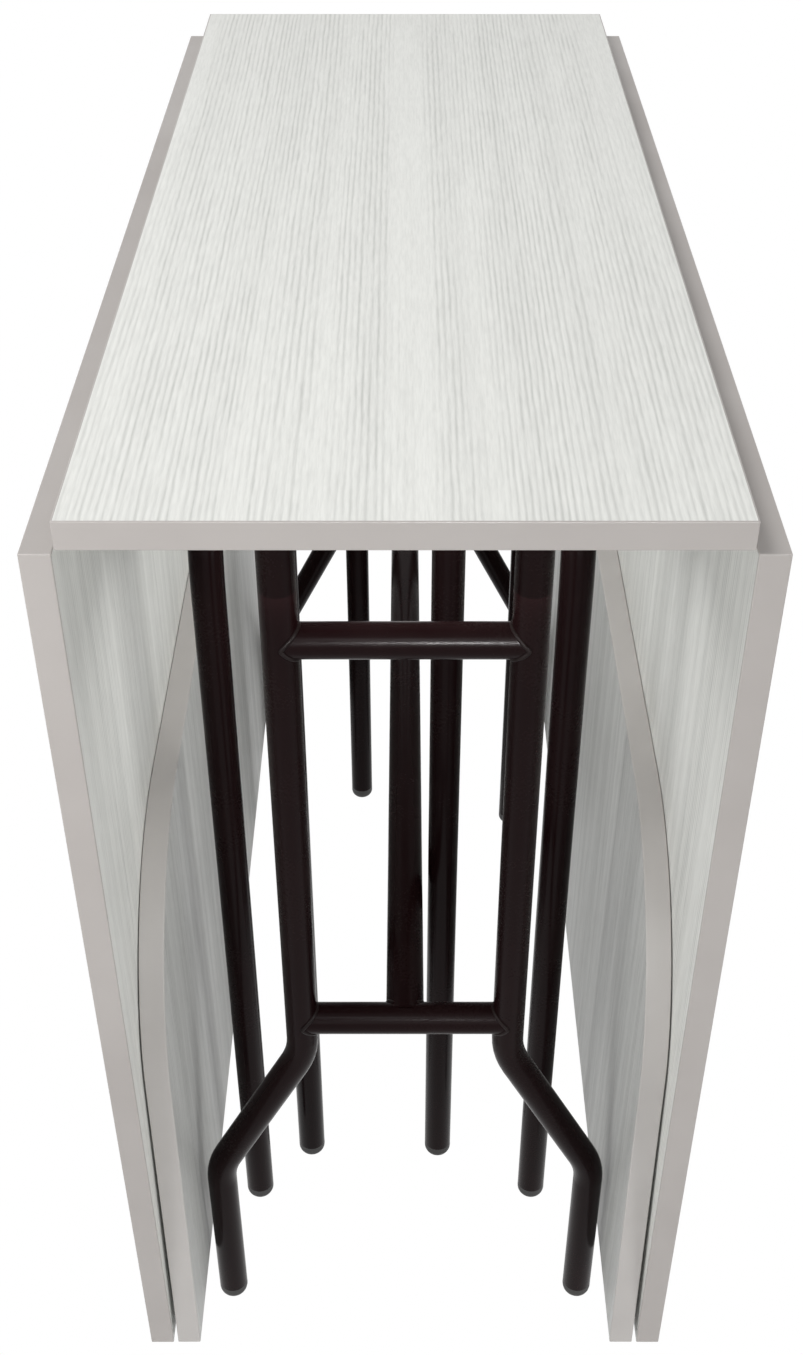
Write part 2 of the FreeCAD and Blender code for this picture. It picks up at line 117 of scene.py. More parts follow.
def copyTo(piece, matrix):
    twin = piece.copy()
    twin.data = piece.data.copy()
    bpy.context.scene.collection.objects.link(twin)
    twin.matrix_world = matrix
    return twin


def joinAs(name, pieces):
    deselectAll()
    for piece in pieces:
        piece.select_set(True)
    bpy.context.view_layer.objects.active = pieces[0]
    bpy.ops.object.join()
    joined = bpy.context.view_layer.objects.active
    joined.name = name
    joined.data.name = name
    settle(joined)
    return joined


def smooth(piece, degrees):
    pick(piece)
    bpy.ops.object.shade_smooth_by_angle(angle=math.radians(degrees))


# Node helpers
def groupSocket(group, name, direction, kind, value=None):
    socket = group.interface.new_socket(name=name, in_out=direction, socket_type=kind)
    if value is not None:
        socket.default_value = value


def addNode(tree, kind, x, y, **values):
    node = tree.nodes.new(kind)
    node.location = (x, y)
    for name, value in values.items():
        setattr(node, name, value)
    return node


def mathNode(tree, operation, x, y, first, second):
    node = addNode(tree, "ShaderNodeMath", x, y, operation=operation)
    for number, value in enumerate((first, second)):
        if isinstance(value, (int, float)):
            node.inputs[number].default_value = value
        else:
            tree.links.new(value, node.inputs[number])
    return node.outputs[0]


def noiseNode(tree, x, y, vector, scale, detail=2.0, rough=0.5):
    node = addNode(tree, "ShaderNodeTexNoise", x, y)
    node.inputs["Scale"].default_value = scale
    node.inputs["Detail"].default_value = detail
    node.inputs["Roughness"].default_value = rough
    tree.links.new(vector, node.inputs["Vector"])
    return node.outputs["Fac"]


def mappingNode(tree, x, y, vector, scale=(1, 1, 1), turn=(0, 0, 0), shift=(0, 0, 0)):
    node = addNode(tree, "ShaderNodeMapping", x, y)
    node.inputs["Scale"].default_value = scale
    node.inputs["Rotation"].default_value = [math.radians(angle) for angle in turn]
    node.inputs["Location"].default_value = shift
    tree.links.new(vector, node.inputs["Vector"])
    return node.outputs["Vector"]


def rangeNode(tree, x, y, value, low, high, newLow=0.0, newHigh=1.0):
    node = addNode(tree, "ShaderNodeMapRange", x, y)
    tree.links.new(value, node.inputs["Value"])
    for name, number in (("From Min", low), ("From Max", high), ("To Min", newLow), ("To Max", newHigh)):
        node.inputs[name].default_value = number
    return node.outputs["Result"]


def mixColor(tree, x, y, factor, first, second):
    node = addNode(tree, "ShaderNodeMix", x, y, data_type="RGBA")
    tree.links.new(factor, node.inputs["Factor"])
    for name, value in (("A", first), ("B", second)):
        socket = next(item for item in node.inputs if item.name == name and item.type == "RGBA")
        if isinstance(value, tuple):
            socket.default_value = (*value, 1)
        else:
            tree.links.new(value, socket)
    return next(item for item in node.outputs if item.type == "RGBA")


def seenRays(tree, y):
    # 1 for what the camera sees, directly or in a gloss, and 0 for light on its way
    rays = addNode(tree, "ShaderNodeLightPath", -800, y)
    seen = mathNode(tree, "MAXIMUM", -600, y, rays.outputs["Is Camera Ray"], rays.outputs["Is Glossy Ray"])
    return mathNode(tree, "MAXIMUM", -450, y, seen, rays.outputs["Is Transmission Ray"])


# Combed wood grain, across X and along Y of the vector that it is given
combSet = {
    "pitch": 0.0036,
    "crestPower": 1.6,
    "lineShare": 0.60,
    "hairShare": 0.26,
    "toneShare": 0.10,
    "wobble": {"stretch": (150, 26, 150), "reach": 0.0017},
    "wander": {"stretch": (5, 2.2, 5), "reach": 0.004},
    "drift": {"stretch": (17, 0.5, 17), "reach": 0.011},
    "density": {"along": 0.02, "scale": 38, "detail": 1.5, "low": 0.40, "high": 0.58, "least": 0.06},
    "breaks": {"along": 0.04, "scale": 330, "detail": 2.0, "low": 0.34, "high": 0.60, "least": 0.28},
    "hair": {"along": 0.07, "scale": 950, "detail": 2.0, "rough": 0.6, "low": 0.36, "high": 0.68},
    "tone": {"along": 0.03, "scale": 62, "detail": 2.0, "low": 0.38, "high": 0.64},
    "broad": {"along": 0.015, "scale": 90, "detail": 1.0, "low": 0.44, "high": 0.56},
}


def grainShift(group, y, vector, layer):
    # noise that moves the grain sideways
    stretched = mappingNode(group, -1400, y, vector, scale=layer["stretch"])
    return mathNode(group, "MULTIPLY", -1000, y, noiseNode(group, -1200, y, stretched, 1.0), layer["reach"])


def grainStreaks(group, y, vector, layer):
    # noise drawn out along the grain
    stretched = mappingNode(group, -700, y, vector, scale=(1, layer["along"], 1))
    noise = noiseNode(group, -450, y, stretched, layer["scale"], layer["detail"], layer.get("rough", 0.5))
    return rangeNode(group, -200, y, noise, layer["low"], layer["high"], layer.get("least", 0.0))


def buildCombedGrain():
    group = bpy.data.node_groups.new("combedGrain", "ShaderNodeTree")
    groupSocket(group, "Vector", "INPUT", "NodeSocketVector")
    groupSocket(group, "Broad Lines", "INPUT", "NodeSocketFloat", 0.0)
    groupSocket(group, "Smooth Tone", "INPUT", "NodeSocketFloat", 1.0)
    groupSocket(group, "Shade", "OUTPUT", "NodeSocketFloat")
    groupSocket(group, "Relief", "OUTPUT", "NodeSocketFloat")
    start = addNode(group, "NodeGroupInput", -1600, 0)
    end = addNode(group, "NodeGroupOutput", 1150, 0)
    vector = start.outputs["Vector"]
    # place across the grain, with a fine wobble, a slow wander and a pitch that drifts from band to band
    split = addNode(group, "ShaderNodeSeparateXYZ", -1400, 200)
    group.links.new(vector, split.inputs[0])
    across = split.outputs["X"]
    for x, y, name in ((-950, 450, "wobble"), (-800, -100, "wander"), (-650, -350, "drift")):
        across = mathNode(group, "ADD", x, 150, across, grainShift(group, y, vector, combSet[name]))
    # the comb: rounded crests with narrow grooves
    turns = mathNode(group, "MULTIPLY", -500, 150, across, 2 * math.pi / combSet["pitch"])
    wave = mathNode(group, "SINE", -350, 150, turns, 0.0)
    crest = rangeNode(group, -200, 150, wave, -1.0, 1.0)
    lines = mathNode(group, "POWER", 0, 150, crest, combSet["crestPower"])
    # denser and smoother bands, and short breaks along each groove
    density = grainStreaks(group, -200, vector, combSet["density"])
    breaks = grainStreaks(group, -450, vector, combSet["breaks"])
    lines = mathNode(group, "MULTIPLY", 200, 100, lines, density)
    lines = mathNode(group, "MULTIPLY", 350, 100, lines, breaks)
    lines = mathNode(group, "MULTIPLY", 500, 100, lines, combSet["lineShare"])
    # hair lines between the grooves
    hair = grainStreaks(group, -700, vector, combSet["hair"])
    hair = mathNode(group, "MULTIPLY", 200, -700, hair, combSet["hairShare"])
    # bands of a slightly deeper tone
    tone = grainStreaks(group, -950, vector, combSet["tone"])
    tone = mathNode(group, "MULTIPLY", 200, -950, tone, combSet["toneShare"])
    tone = mathNode(group, "MULTIPLY", 350, -950, tone, start.outputs["Smooth Tone"])
    # broad lines, where the comb was pressed deeper
    broad = grainStreaks(group, -1200, vector, combSet["broad"])
    broad = mathNode(group, "MULTIPLY", 350, -1200, broad, start.outputs["Broad Lines"])
    total = mathNode(group, "ADD", 600, 0, lines, hair)
    total = mathNode(group, "ADD", 700, 0, total, tone)
    total = mathNode(group, "ADD", 800, 0, total, broad)
    group.links.new(total, end.inputs["Shade"])
    group.links.new(mathNode(group, "SUBTRACT", 950, -150, 1.0, total), end.inputs["Relief"])
    return group


# Faint smudges and fine pores that every finish shares
handledSet = {"smudgeScale": 9.0, "smudgeDetail": 3.0, "smudgeRough": 0.6, "smudgeLow": 0.35,
              "smudgeHigh": 0.68, "poreScale": 900.0, "poreDetail": 2.0}


def buildHandledFinish():
    group = bpy.data.node_groups.new("handledFinish", "ShaderNodeTree")
    groupSocket(group, "Vector", "INPUT", "NodeSocketVector")
    groupSocket(group, "Pore Scale", "INPUT", "NodeSocketFloat", handledSet["poreScale"])
    groupSocket(group, "Smudge", "OUTPUT", "NodeSocketFloat")
    groupSocket(group, "Pores", "OUTPUT", "NodeSocketFloat")
    start = addNode(group, "NodeGroupInput", -700, 0)
    end = addNode(group, "NodeGroupOutput", 400, 0)
    cloud = noiseNode(group, -400, 200, start.outputs["Vector"], handledSet["smudgeScale"],
                      handledSet["smudgeDetail"], handledSet["smudgeRough"])
    smudge = rangeNode(group, -100, 200, cloud, handledSet["smudgeLow"], handledSet["smudgeHigh"])
    group.links.new(smudge, end.inputs["Smudge"])
    pores = addNode(group, "ShaderNodeTexNoise", -400, -100)
    pores.inputs["Detail"].default_value = handledSet["poreDetail"]
    group.links.new(start.outputs["Vector"], pores.inputs["Vector"])
    group.links.new(start.outputs["Pore Scale"], pores.inputs["Scale"])
    group.links.new(pores.outputs["Fac"], end.inputs["Pores"])
    return group


combedGrain = buildCombedGrain()
handledFinish = buildHandledFinish()


def startMaterial(name):
    material = bpy.data.materials.new(name)
    material.use_nodes = True
    tree = material.node_tree
    shader = tree.nodes["Principled BSDF"]
    shader.location = (900, 0)
    tree.nodes["Material Output"].location = (1250, 0)
    coordinates = addNode(tree, "ShaderNodeTexCoord", -900, 0).outputs["Object"]
    return material, tree, shader, coordinates


def useGroup(tree, group, x, y, vector):
    node = addNode(tree, "ShaderNodeGroup", x, y)
    node.node_tree = group
    tree.links.new(vector, node.inputs["Vector"])
    return node


def bumpInto(tree, shader, height, strength, distance):
    bump = addNode(tree, "ShaderNodeBump", 650, -350)
    bump.inputs["Strength"].default_value = strength
    bump.inputs["Distance"].default_value = distance
    tree.links.new(height, bump.inputs["Height"])
    tree.links.new(bump.outputs["Normal"], shader.inputs["Normal"])


# Pale printed laminate; on the leaves broader lines, and on the end leaves a darker copy whose greyer ground,
# lines and smudges are painted shade for the shade deep inside the folded table
laminateLook = {
    "pale": (0.84, 0.845, 0.81),
    "line": (0.55, 0.555, 0.53),
    "smudge": (0.80, 0.80, 0.77),
    "roughLow": 0.42,
    "roughHigh": 0.60,
    "relief": 0.00025,
    "bump": 0.35,
    "veil": 0.35,
    "broadLines": 0.0,
    "smoothTone": 1.0,
}
leafLook = dict(laminateLook, broadLines=0.20, smoothTone=0.3)
# painted shade: the end leaves' darker copy of the leaf laminate stands for the shade inside the folded table
endPaintedShadeLook = dict(leafLook, pale=(0.58, 0.585, 0.565), line=(0.375, 0.379, 0.367), smudge=(0.545, 0.545, 0.53))


def makeLaminate(name, look, turn, shift):
    # the turn brings the grain to the board's own direction
    material, tree, shader, place = startMaterial(name)
    across = mappingNode(tree, -700, 0, place, turn=turn, shift=shift)
    grain = useGroup(tree, combedGrain, -450, 100, across)
    grain.inputs["Broad Lines"].default_value = look["broadLines"]
    grain.inputs["Smooth Tone"].default_value = look["smoothTone"]
    marks = useGroup(tree, handledFinish, -450, -250, place)
    veil = mathNode(tree, "MULTIPLY", -200, -250, marks.outputs["Smudge"], look["veil"])
    ground = mixColor(tree, 0, -150, veil, look["pale"], look["smudge"])
    tint = mixColor(tree, 300, 100, grain.outputs["Shade"], ground, look["line"])
    tree.links.new(tint, shader.inputs["Base Color"])
    rough = rangeNode(tree, 300, -150, grain.outputs["Shade"], 0, 1, look["roughLow"], look["roughHigh"])
    tree.links.new(rough, shader.inputs["Roughness"])
    bumpInto(tree, shader, grain.outputs["Relief"], look["bump"], look["relief"])
    return material


# Finishes with one ground colour, faint smudges and a pored surface
coatSet = {"marksLow": 0.2, "marksHigh": 1.6, "gloss": 0.5}


def makeCoat(name, look):
    material, tree, shader, place = startMaterial(name)
    marks = useGroup(tree, handledFinish, -450, 0, place)
    marks.inputs["Pore Scale"].default_value = look["poreScale"]
    tint = mixColor(tree, 200, 100, marks.outputs["Smudge"], look["ground"], look["smudge"])
    tree.links.new(tint, shader.inputs["Base Color"])
    blend = mathNode(tree, "ADD", 0, -150, marks.outputs["Smudge"], marks.outputs["Pores"])
    rough = rangeNode(tree, 200, -150, blend, coatSet["marksLow"], coatSet["marksHigh"], look["roughLow"],
                      look["roughHigh"])
    tree.links.new(rough, shader.inputs["Roughness"])
    shader.inputs["Metallic"].default_value = look["metal"]
    shader.inputs["Specular IOR Level"].default_value = look.get("gloss", coatSet["gloss"])
    bumpInto(tree, shader, marks.outputs["Pores"], look["bump"], look["depth"])
    return material


edgeBandLook = {"ground": (0.430, 0.403, 0.385), "smudge": (0.400, 0.372, 0.355), "poreScale": 700.0,
                "roughLow": 0.36, "roughHigh": 0.50, "metal": 0.0, "bump": 0.10, "depth": 0.0001}
# painted light: the end leaves' bands are a lighter copy of the edge band, standing for the light on their
# curved edges
endBandPaintedLightLook = dict(edgeBandLook, ground=(0.500, 0.478, 0.460), smudge=(0.465, 0.443, 0.426))
tubeLook = {"ground": (0.0074, 0.0026, 0.0029), "smudge": (0.0098, 0.0040, 0.0042), "poreScale": 520.0,
            "roughLow": 0.18, "roughHigh": 0.32, "metal": 0.0, "bump": 0.10, "depth": 0.0002, "gloss": 0.06}
weldLook = {"ground": (0.0092, 0.0056, 0.0055), "smudge": (0.0150, 0.0092, 0.0088), "poreScale": 900.0,
            "roughLow": 0.28, "roughHigh": 0.46, "metal": 0.0, "bump": 0.35, "depth": 0.0003, "gloss": 0.10}
zincLook = {"ground": (0.62, 0.62, 0.60), "smudge": (0.50, 0.50, 0.49), "poreScale": 1400.0,
            "roughLow": 0.26, "roughHigh": 0.46, "metal": 1.0, "bump": 0.10, "depth": 0.0001}
footLook = {"ground": (0.018, 0.017, 0.017), "smudge": (0.028, 0.027, 0.026), "poreScale": 1500.0,
            "roughLow": 0.48, "roughHigh": 0.66, "metal": 0.0, "bump": 0.30, "depth": 0.0002}
padLook = {"ground": (0.040, 0.039, 0.038), "smudge": (0.058, 0.056, 0.054), "poreScale": 1100.0,
           "roughLow": 0.70, "roughHigh": 0.88, "metal": 0.0, "bump": 0.40, "depth": 0.0003}
nylonLook = {"ground": (0.62, 0.63, 0.66), "smudge": (0.54, 0.55, 0.58), "poreScale": 1200.0,
             "roughLow": 0.38, "roughHigh": 0.52, "metal": 0.0, "bump": 0.10, "depth": 0.0001}

topLaminate = makeLaminate("topLaminate", laminateLook, (0, 0, 0), (0, 0, 0))
leafLaminate = makeLaminate("leafLaminate", leafLook, (0, 90, 90), (3.1, 1.7, 0.4))
# the end leaves' laminate carries painted shade in its darker ground
endPaintedShadeLaminate = makeLaminate("endPaintedShadeLaminate", endPaintedShadeLook, (0, 90, 90), (7.3, 4.2, 1.9))
edgeBand = makeCoat("edgeBandFinish", edgeBandLook)
# the end leaves' band finish carries painted light in its lighter ground
endBandPaintedLight = makeCoat("endBandPaintedLightFinish", endBandPaintedLightLook)
tubeCoat = makeCoat("tubeCoat", tubeLook)
weldCoat = makeCoat("weldCoat", weldLook)
zincPlate = makeCoat("zincPlate", zincLook)
footPlastic = makeCoat("footPlastic", footLook)
padRubber = makeCoat("padRubber", padLook)
nylonInsert = makeCoat("nylonInsert", nylonLook)
print("materials ready:", len(bpy.data.materials))


def setFinish(piece, material):
    piece.data.materials.clear()
    piece.data.materials.append(material)


slotFinish = {
    "edge_band": edgeBand,
    "tube": tubeCoat,
    "zinc": zincPlate,
    "foot": footPlastic,
    "pad": padRubber,
}
boardFinish = {
    "tabletop": topLaminate,
    "left_leaf": leafLaminate,
    "right_leaf": leafLaminate,
    "left_end_leaf": endPaintedShadeLaminate,
    "right_end_leaf": endPaintedShadeLaminate,
    "left_end_leaf_edge_band": endBandPaintedLight,
    "right_end_leaf_edge_band": endBandPaintedLight,
}
for entry in frame["record"]["subparts"]:
    setFinish(nodes[entry["node"]], boardFinish.get(entry["node"]) or slotFinish[entry["material_slot"]])
print("CAD nodes finished")


# Loose solids of a CAD node, measured on a merged copy that is deleted again
mergeGap = 0.000005


def looseSpots(nodeName, measure):
    twin = copyTo(nodes[nodeName], Matrix.Identity(4))
    pick(twin)
    bpy.ops.object.mode_set(mode="EDIT")
    bpy.ops.mesh.select_all(action="SELECT")
    bpy.ops.mesh.remove_doubles(threshold=mergeGap)
    bpy.ops.mesh.separate(type="LOOSE")
    leaveEdit()
    parts = list(bpy.context.selected_objects)
    spots = [measure([part.matrix_world @ point.co for point in part.data.vertices]) for part in parts]
    bpy.ops.object.delete()
    return spots


def middleOf(points):
    low = Vector([min(point[axis] for point in points) for axis in range(3)])
    high = Vector([max(point[axis] for point in points) for axis in range(3)])
    return (low + high) / 2, high - low


# Countersunk screw with a cross recess, head at the origin and point along +Z
screwSet = {
    "sides": 28,
    "headRadius": 0.003,
    "shankRadius": 0.0015,
    "headDepth": 0.0015,
    "shank": 0.006,
    "tip": 0.5,
    "rim": 0.0005,
    "crown": 0.00012,
    "armWidth": 0.0010,
    "armLength": 0.0036,
    "recess": 0.0011,
    "taper": 0.55,
    "smoothAngle": 30,
    "turnStep": 47,
}


def modelScrew():
    deselectAll()
    bpy.ops.mesh.primitive_cone_add(vertices=screwSet["sides"], radius1=screwSet["headRadius"],
                                    radius2=screwSet["shankRadius"], depth=screwSet["headDepth"],
                                    location=(0, 0, screwSet["headDepth"] / 2))
    screw = bpy.context.active_object
    settle(screw)
    selectFaces(screw, facingUp)
    bpy.ops.mesh.extrude_region_move(TRANSFORM_OT_translate={"value": (0, 0, screwSet["shank"])})
    bpy.ops.transform.resize(value=(screwSet["tip"], screwSet["tip"], 1))
    leaveEdit()
    selectFaces(screw, facingDown)
    bpy.ops.mesh.inset(thickness=screwSet["rim"])
    bpy.ops.transform.translate(value=(0, 0, -screwSet["crown"]))
    leaveEdit()
    for arm in (0, 90):
        deselectAll()
        bpy.ops.mesh.primitive_cube_add(size=1)
        cutter = bpy.context.active_object
        cutter.scale = (screwSet["armLength"], screwSet["armWidth"], 2 * screwSet["recess"])
        cutter.rotation_euler.z = math.radians(arm)
        settle(cutter)
        selectFaces(cutter, facingUp)
        bpy.ops.transform.resize(value=(screwSet["taper"], screwSet["taper"], 1))
        leaveEdit()
        applyModifier(screw, "BOOLEAN", operation="DIFFERENCE", object=cutter, solver="EXACT")
        pick(cutter)
        bpy.ops.object.delete()
    smooth(screw, screwSet["smoothAngle"])
    return screw


def screwSpot(points):
    # the head end is the one that spreads further from the axis
    middle, extent = middleOf(points)
    axis = max(range(3), key=lambda number: extent[number])
    reach = [0.0, 0.0]
    for point in points:
        offset = point - middle
        end = 0 if offset[axis] < 0 else 1
        offset[axis] = 0
        reach[end] = max(reach[end], offset.length)
    sign = 1 if reach[0] > reach[1] else -1
    direction = Vector((0, 0, 0))
    direction[axis] = sign
    return middle - direction * extent[axis] / 2, direction


screwModel = modelScrew()
screwNodes = ("top_screws", "left_leaf_screws", "right_leaf_screws", "left_end_leaf_screws",
              "right_end_leaf_screws")
for screwNode in screwNodes:
    copies = []
    for number, (headSpot, direction) in enumerate(looseSpots(screwNode, screwSpot)):
        twist = Matrix.Rotation(math.radians(number * screwSet["turnStep"]), 4, "Z")
        aim = direction.to_track_quat("Z", "Y").to_matrix().to_4x4()
        copies.append(copyTo(screwModel, Matrix.Translation(headSpot) @ aim @ twist))
    screwRow = joinAs(screwNode + "_crossed", copies)
    setFinish(screwRow, zincPlate)
    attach(screwRow, nodes[screwNode]["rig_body"])
    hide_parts(screwNode)
pick(screwModel)
bpy.ops.object.delete()
print("screws modelled")


# Weld beads: a ring laid on the tube that it joins, then thickened and rippled
beadSet = {
    "radius": 0.0014,
    "points": 72,
    "roundSteps": 3,
    "ripple": 0.0006,
    "rippleSize": 0.0022,
    "smoothAngle": 60,
    "runSwell": 1.3,
    "runSides": 16,
    "runRings": 12,
    "runSteps": 12,
}
rippleCloud = bpy.data.textures.new("beadRipple", "CLOUDS")
rippleCloud.noise_scale = beadSet["rippleSize"]


def rippled(bead):
    applyModifier(bead, "DISPLACE", texture=rippleCloud, strength=beadSet["ripple"], mid_level=0.5)
    smooth(bead, beadSet["smoothAngle"])
    return bead


def thicken(ring):
    pick(ring)
    bpy.ops.object.convert(target="CURVE")
    bead = bpy.context.active_object
    bead.data.bevel_depth = beadSet["radius"]
    bead.data.bevel_resolution = beadSet["roundSteps"]
    bead.data.use_fill_caps = True
    bpy.ops.object.convert(target="MESH")
    bead = bpy.context.active_object
    return rippled(bead)


def weldRing(place, turn, radius, target=None, axis="x", wanted=None):
    deselectAll()
    bpy.ops.mesh.primitive_circle_add(vertices=beadSet["points"], radius=radius, location=place,
                                      rotation=[math.radians(angle) for angle in turn])
    ring = bpy.context.active_object
    settle(ring)
    if wanted:
        bpy.ops.object.mode_set(mode="EDIT")
        bpy.ops.mesh.select_mode(type="VERT")
        bpy.ops.mesh.select_all(action="DESELECT")
        leaveEdit()
        for point in ring.data.vertices:
            point.select = not wanted(point.co)
        bpy.ops.object.mode_set(mode="EDIT")
        bpy.ops.mesh.delete(type="VERT")
        leaveEdit()
    if target:
        applyModifier(ring, "SHRINKWRAP", wrap_method="PROJECT", target=target, use_project_x=axis == "x",
                      use_project_y=axis == "y", use_negative_direction=True, use_positive_direction=True)
    return thicken(ring)


def weldRun(length):
    # rounded bead along +Y from the origin
    deselectAll()
    bpy.ops.mesh.primitive_uv_sphere_add(segments=beadSet["runSides"], ring_count=beadSet["runRings"],
                                         radius=beadSet["radius"] * beadSet["runSwell"],
                                         rotation=(math.radians(-90), 0, 0))
    run = bpy.context.active_object
    settle(run)
    selectFaces(run, lambda middle, normal: middle.y > 0)
    bpy.ops.mesh.extrude_region_move(TRANSFORM_OT_translate={"value": (0, length, 0)})
    for step in range(2, beadSet["runSteps"]):
        bpy.ops.mesh.select_all(action="SELECT")
        bpy.ops.mesh.bisect(plane_co=(0, length * step / beadSet["runSteps"], 0), plane_no=(0, 1, 0))
    leaveEdit()
    return rippled(run)


frameWelds = {"sunk": 0.0001, "start": 0.009, "proud": 0.0002, "spineStart": 0.02, "halfGap": 0.004,
              "halfTrim": 0.0004, "topDrop": 0.6}
barLow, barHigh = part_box("front_upper_cross_bar")
spineLow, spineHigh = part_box("spine_tube")
tubeRadius = (barHigh.z - barLow.z) / 2
spineRadius = (spineHigh.x - spineLow.x) / 2
postX = barHigh.x  # the bar's coped ends reach the middle of the posts
ringStart = postX - tubeRadius - frameWelds["start"]
halfHeight = tubeRadius - frameWelds["halfTrim"]
beads = []
for end in ("front", "back"):
    for level in ("upper", "lower"):
        middle = sum(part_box(f"{end}_{level}_cross_bar"), Vector()) / 2
        for side, sign in (("left", -1), ("right", 1)):
            place = (sign * ringStart, middle.y, middle.z)
            post = nodes[f"{end}_{side}_leg_tube"]
            beads.append(weldRing(place, (0, 90, 0), tubeRadius - frameWelds["sunk"], post))
    # the spine is wider than the bar that it meets, so its bead has two halves
    lowBar = nodes[f"{end}_lower_cross_bar"]
    away = 1 if end == "back" else -1
    for half in (-1, 1):
        place = (0, middle.y - away * frameWelds["spineStart"], middle.z)
        beads.append(weldRing(place, (90, 0, 0), spineRadius - frameWelds["sunk"], lowBar, "y",
                              lambda spot: spot.x * half > frameWelds["halfGap"]
                              and abs(spot.z - middle.z) < halfHeight))
    for side, sign in (("left", -1), ("right", 1)):
        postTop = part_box(f"{end}_{side}_leg_tube")[1].z - beadSet["radius"] * frameWelds["topDrop"]
        beads.append(weldRing((sign * postX, middle.y, postTop), (0, 0, 0), tubeRadius + frameWelds["proud"]))
frameBeads = joinAs("frame_weld_beads", beads)
setFinish(frameBeads, weldCoat)
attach(frameBeads, "base")

# Two runs under each pivot strap, where it lies on the gate's rail
gateWelds = {"start": 0.119, "length": 0.033, "aside": 0.0060, "drop": 0.0019,
             "angles": {"left_outer": -0.6, "right_outer": -0.6, "left_inner": 175.8, "right_inner": 177.7}}
for gate, angle in gateWelds["angles"].items():
    swing = next(joint for joint in frame["joints"] if joint["name"] == f"{gate}_gate_swing")
    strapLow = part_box(f"{gate}_gate_pivot_strap")[0].z
    gatePlace = Matrix.Translation((swing["pos_m"][0], swing["pos_m"][1], strapLow - gateWelds["drop"]))
    gatePlace = gatePlace @ Matrix.Rotation(math.radians(angle), 4, "Z")
    runs = []
    for aside in (-1, 1):
        run = weldRun(gateWelds["length"])
        run.matrix_world = gatePlace @ Matrix.Translation((aside * gateWelds["aside"], gateWelds["start"], 0))
        runs.append(run)
    gateBeads = joinAs(f"{gate}_gate_weld_beads", runs)
    setFinish(gateBeads, weldCoat)
    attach(gateBeads, f"{gate}_gate")
print("weld beads modelled")


# Lock nuts: a hexagon with turned corners, and a nylon ring at the low end
nutSet = {
    "radius": 0.009,
    "height": 0.008,
    "turned": 0.0089,
    "turnedSides": 48,
    "chamfer": 0.0013,
    "chamferSteps": 3,
    "chamferAngle": 60,
    "bore": 0.0051,
    "boreSides": 36,
    "smoothAngle": 25,
}
ringSet = {"radius": 0.0062, "thick": 0.0011, "steps": 40, "sides": 12, "flatFrom": -0.4, "flatAt": 0.7,
           "smoothAngle": 40}


def modelNut():
    deselectAll()
    bpy.ops.mesh.primitive_cylinder_add(vertices=6, radius=nutSet["radius"], depth=nutSet["height"])
    nut = bpy.context.active_object
    bpy.ops.mesh.primitive_cylinder_add(vertices=nutSet["turnedSides"], radius=nutSet["turned"],
                                        depth=nutSet["height"])
    turned = bpy.context.active_object
    applyModifier(turned, "BEVEL", width=nutSet["chamfer"], segments=nutSet["chamferSteps"],
                  limit_method="ANGLE", angle_limit=math.radians(nutSet["chamferAngle"]))
    applyModifier(nut, "BOOLEAN", operation="INTERSECT", object=turned, solver="EXACT")
    pick(turned)
    bpy.ops.object.delete()
    bpy.ops.mesh.primitive_cylinder_add(vertices=nutSet["boreSides"], radius=nutSet["bore"],
                                        depth=2 * nutSet["height"])
    bore = bpy.context.active_object
    applyModifier(nut, "BOOLEAN", operation="DIFFERENCE", object=bore, solver="EXACT")
    pick(bore)
    bpy.ops.object.delete()
    smooth(nut, nutSet["smoothAngle"])
    return nut


def modelNylonRing():
    lowEnd = -nutSet["height"] / 2
    deselectAll()
    bpy.ops.mesh.primitive_torus_add(major_segments=ringSet["steps"], minor_segments=ringSet["sides"],
                                     major_radius=ringSet["radius"], minor_radius=ringSet["thick"],
                                     location=(0, 0, lowEnd))
    ring = bpy.context.active_object
    settle(ring)
    selectFaces(ring, lambda middle, normal: normal.z < ringSet["flatFrom"])
    bpy.ops.transform.resize(value=(1, 1, 0),
                             center_override=(0, 0, lowEnd - ringSet["thick"] * ringSet["flatAt"]))
    leaveEdit()
    smooth(ring, ringSet["smoothAngle"])
    return ring


nutSpots = looseSpots("gate_pivot_nuts", middleOf)
nutModel = modelNut()
ringModel = modelNylonRing()
nuts = joinAs("gate_lock_nuts", [copyTo(nutModel, Matrix.Translation(spot)) for spot, extent in nutSpots])
rings = joinAs("gate_nut_rings", [copyTo(ringModel, Matrix.Translation(spot)) for spot, extent in nutSpots])
setFinish(nuts, zincPlate)
setFinish(rings, nylonInsert)
for piece in (nutModel, ringModel):
    pick(piece)
    bpy.ops.object.delete()
for piece in (nuts, rings):
    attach(piece, "base")
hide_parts("gate_pivot_nuts")
print("lock nuts modelled")


# Camera at the photo's angle
cameraSet = {"place": (0, -1.051, 1.162), "pitch": 37.7, "lens": 43.97, "sensor": 36, "shiftX": -0.0026}
bpy.ops.object.camera_add(location=cameraSet["place"], rotation=(math.radians(90 - cameraSet["pitch"]), 0, 0))
camera = bpy.context.active_object
camera.name = "photoCamera"
camera.data.lens = cameraSet["lens"]
camera.data.sensor_width = cameraSet["sensor"]
camera.data.shift_x = cameraSet["shiftX"]
bpy.context.scene.camera = camera

